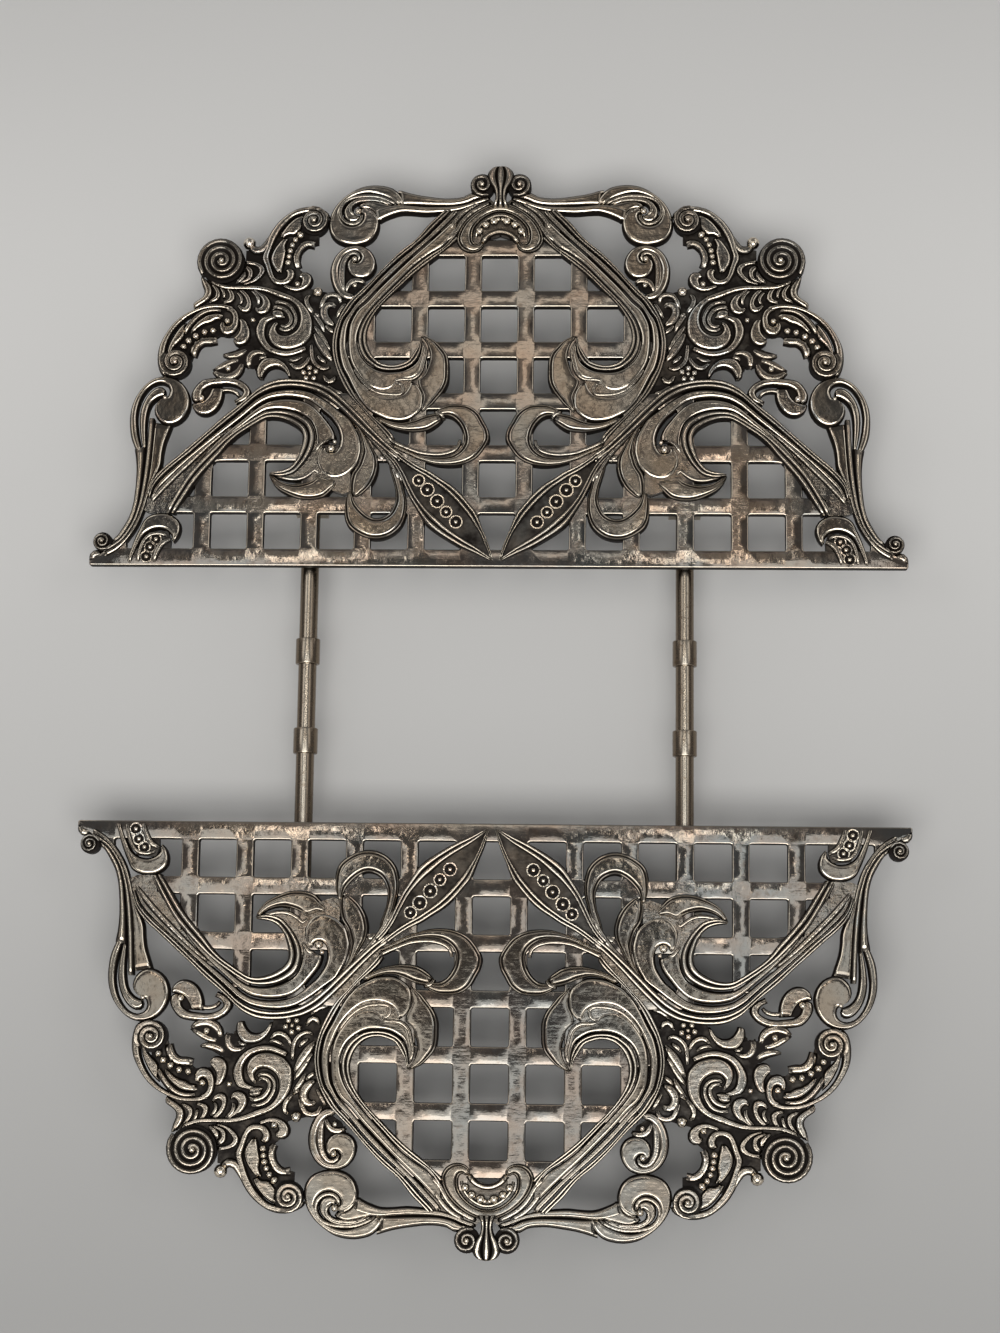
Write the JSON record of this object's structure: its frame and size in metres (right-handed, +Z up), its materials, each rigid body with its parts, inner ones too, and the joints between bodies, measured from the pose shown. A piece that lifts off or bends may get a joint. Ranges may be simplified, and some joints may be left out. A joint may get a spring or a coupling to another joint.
{
  "type": "expandable trivet",
  "caption": "Openwork cast metal trivet in two half plates that slide apart on a pair of round rods with stop collars, standing on short feet.",
  "frame": {"origin": "on the surface that the feet stand on, midway between the two half plates", "axes": "+Z up, +X to the right along the straight edges, +Y from the front half plate to the back half plate along the rods; rest pose is fully drawn out"},
  "size_m": [0.2156, 0.287, 0.0204],
  "materials": {
    "silver": "tarnished silver plate over cast brass, polished on the raised leaves and dark in the recesses",
    "rod_nickel": "worn nickel plate, satin along the rod",
    "underside": "dull silver plate, as cast"
  },
  "bodies": {
    "front_half": {"front_half_plate": "silver", "front_left_guide": "underside", "front_right_guide": "underside", "front_left_foot": "underside", "front_right_foot": "underside"},
    "left_rod": {"left_slide_rod": "rod_nickel", "left_front_collar": "rod_nickel", "left_back_collar": "rod_nickel", "left_front_end_stop": "rod_nickel", "left_back_end_stop": "rod_nickel"},
    "right_rod": {"right_slide_rod": "rod_nickel", "right_front_collar": "rod_nickel", "right_back_collar": "rod_nickel", "right_front_end_stop": "rod_nickel", "right_back_end_stop": "rod_nickel"},
    "back_half": {"back_half_plate": "silver", "back_left_guide": "underside", "back_right_guide": "underside", "back_left_foot": "underside", "back_right_foot": "underside"}
  },
  "joints": [
    {"name": "left_rod_slide", "type": "slide", "parent": "front_half", "child": "left_rod", "axis": [0, -1, 0], "range_m": [0, 0.03345]},
    {"name": "right_rod_slide", "type": "slide", "parent": "front_half", "child": "right_rod", "axis": [0, -1, 0], "range_m": [0, 0.03345]},
    {"name": "back_half_slide", "type": "slide", "parent": "left_rod", "child": "back_half", "axis": [0, -1, 0], "range_m": [0, 0.03345]}
  ],
  "couplings": [
    {"joint": "right_rod_slide", "follows": "left_rod_slide", "ratio": 1}
  ]
}
